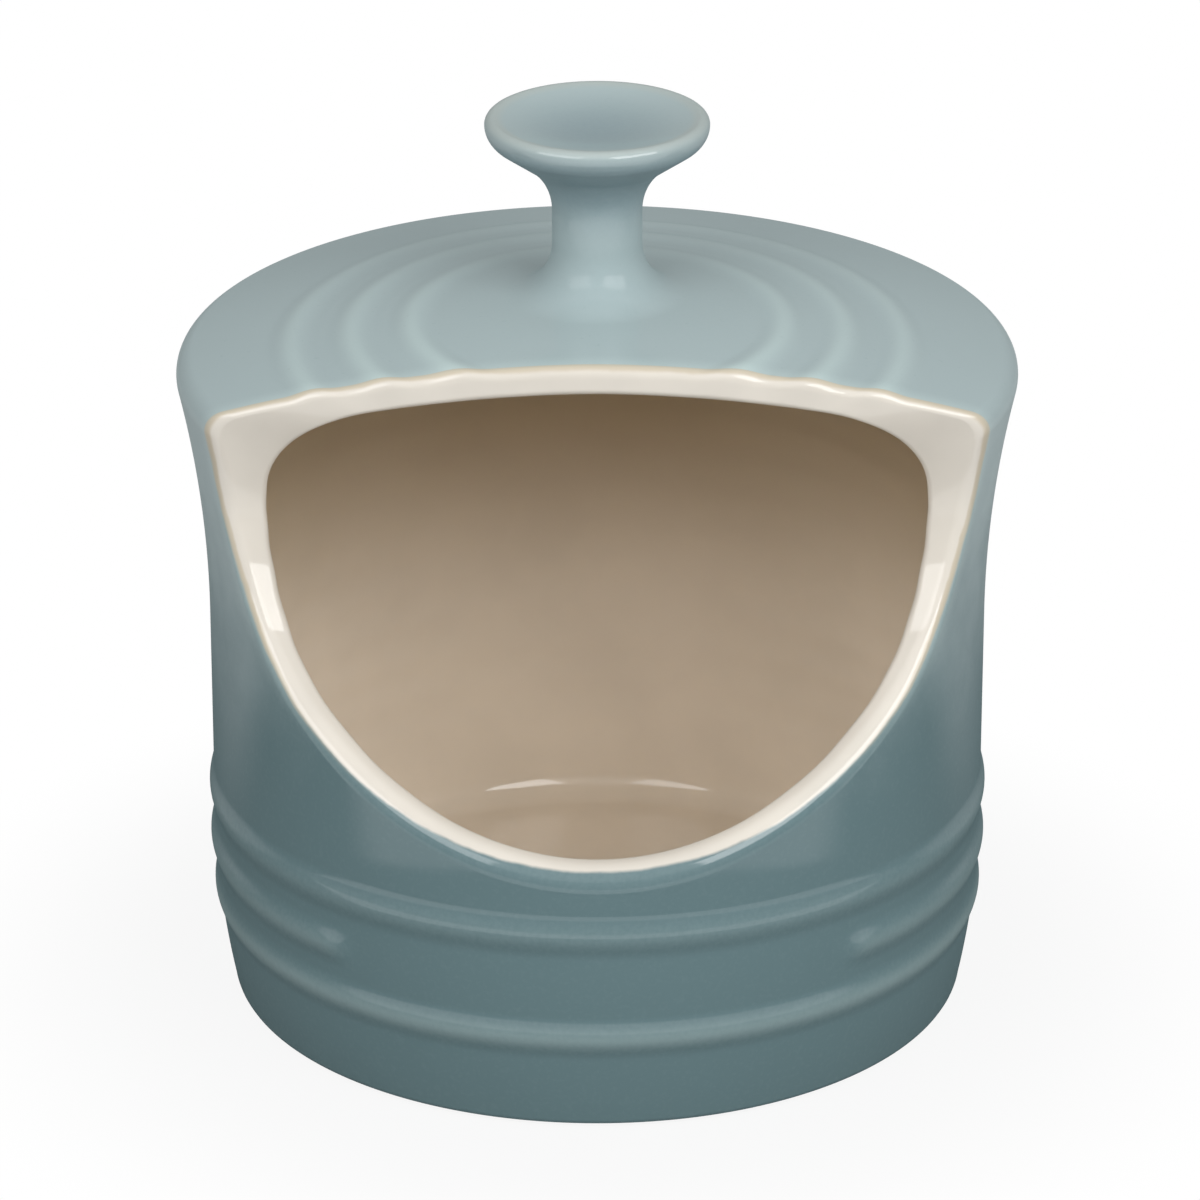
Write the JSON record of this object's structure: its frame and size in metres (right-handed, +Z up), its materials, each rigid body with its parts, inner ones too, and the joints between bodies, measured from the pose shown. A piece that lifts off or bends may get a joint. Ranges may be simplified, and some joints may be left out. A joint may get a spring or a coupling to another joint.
{
  "type": "salt crock",
  "caption": "Open-fronted glazed stoneware salt crock: ribbed round body, rippled dome roof with a dished knob, and a wide scooped mouth for reaching in.",
  "frame": {"origin": "middle of the flat foot, on the table", "axes": "+Z up along the crock's axis, -Y out of the mouth, +X to the right of someone facing the mouth"},
  "size_m": [0.12, 0.1166, 0.1322],
  "materials": {
    "clay": "bare fired stoneware, matt",
    "blue_glaze": "gloss blue-grey glaze that breaks paler and tan on edges",
    "cream_glaze": "gloss cream glaze"
  },
  "bodies": {
    "root": {"base": "clay", "crock_wall": "clay", "dome": "clay", "knob": "clay", "wall_glaze": "blue_glaze", "dome_glaze": "blue_glaze", "knob_glaze": "blue_glaze", "liner_glaze": "cream_glaze", "lip_glaze": "cream_glaze"}
  },
  "joints": []
}
